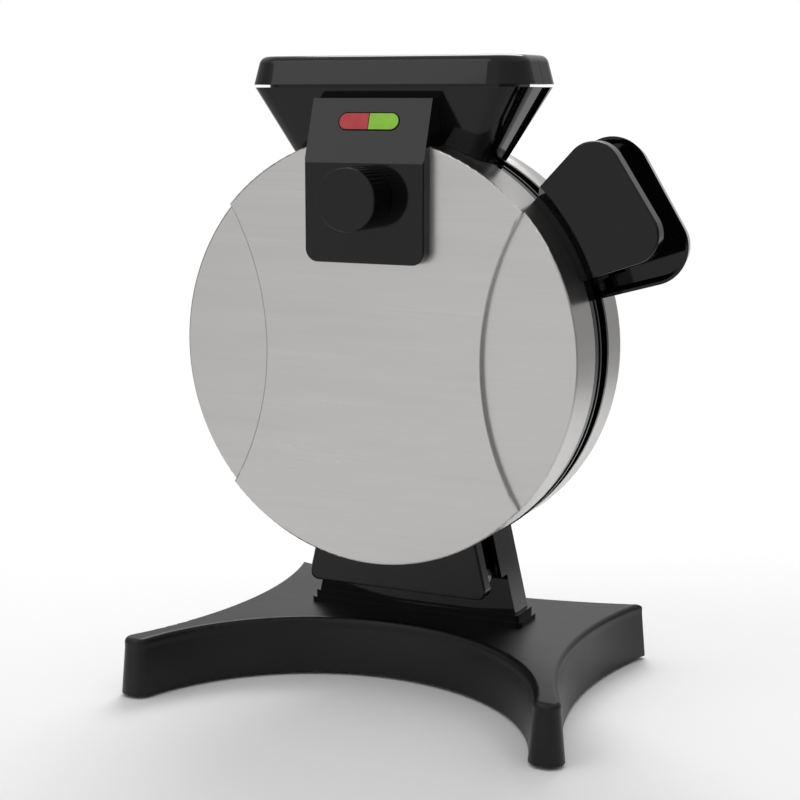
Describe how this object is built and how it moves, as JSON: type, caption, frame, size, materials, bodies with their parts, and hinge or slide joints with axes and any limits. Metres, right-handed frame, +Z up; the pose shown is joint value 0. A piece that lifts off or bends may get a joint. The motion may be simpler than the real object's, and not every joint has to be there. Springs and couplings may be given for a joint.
{
  "type": "upright waffle maker",
  "caption": "Upright round waffle maker filled from above: a split steel disc with studded plates under a black funnel, folding open at the foot on a four-legged base.",
  "frame": {"origin": "on the table, below the middle of the disc: X at the middle of the disc and base, Y about at the seam between the two halves of the disc, Z at the bottom of the rubber feet", "axes": "+X to the right seen from the front, towards the handles; +Y from the control side to the back; +Z up"},
  "size_m": [0.2886, 0.1894, 0.348],
  "materials": {
    "bare_aluminium": "bright sheet",
    "board_green": "circuit board",
    "brass": "turned",
    "brushed_steel": "horizontal brushed grain",
    "fastener_steel": "zinc plated",
    "gloss_black": "glossy moulded",
    "green_lens": "clear tinted",
    "heater_steel": "dull heat-darkened tube",
    "lamp_glass": "frosted",
    "matte_black": "fine matte moulded",
    "plate_coating": "cast, dark non-stick coat",
    "red_lens": "clear tinted",
    "rubber": "matte",
    "thermostat_body": "moulded"
  },
  "bodies": {
    "stand": {"base_cover": "matte_black", "base_screws": "fastener_steel", "base_shell": "matte_black", "catch_clip": "fastener_steel", "cord_bush": "rubber", "hinge_pin": "fastener_steel", "neck_screws": "fastener_steel", "pedestal": "gloss_black", "pedestal_screws": "fastener_steel", "pin_clips": "fastener_steel", "rear_funnel": "gloss_black", "rear_funnel_screws": "fastener_steel", "rear_handle": "matte_black", "rear_handle_screws": "fastener_steel", "rear_heater": "heater_steel", "rear_housing": "gloss_black", "rear_plate": "plate_coating", "rear_plate_screws": "fastener_steel", "rear_reflector": "bare_aluminium", "rear_reflector_screws": "fastener_steel", "rear_rim": "gloss_black", "rear_shell": "brushed_steel", "rubber_feet": "rubber", "thermal_fuse": "bare_aluminium"},
    "lid": {"control_hood": "matte_black", "front_funnel": "gloss_black", "front_funnel_screws": "fastener_steel", "front_handle": "matte_black", "front_handle_screws": "fastener_steel", "front_heater": "heater_steel", "front_housing": "gloss_black", "front_plate": "plate_coating", "front_plate_screws": "fastener_steel", "front_reflector": "bare_aluminium", "front_reflector_screws": "fastener_steel", "front_rim": "gloss_black", "front_shell": "brushed_steel", "green_lens": "green_lens", "hinge_bushes": "brass", "hood_screws": "fastener_steel", "indicator_lamps": "lamp_glass", "lamp_board": "board_green", "red_lens": "red_lens", "thermostat": "thermostat_body", "thermostat_nut": "brass"},
    "dial": {"knob": "matte_black", "control_shaft": "fastener_steel"}
  },
  "joints": [
    {"name": "lid_hinge", "type": "hinge", "parent": "stand", "child": "lid", "pos_m": [0, 0.007, 0.064], "axis": [1, 0, 0], "range_deg": [0, 85]},
    {"name": "knob_turn", "type": "hinge", "parent": "lid", "child": "dial", "pos_m": [0, -0.057, 0.2748], "axis": [0, 1, 0], "range_deg": [0, 270]}
  ]
}
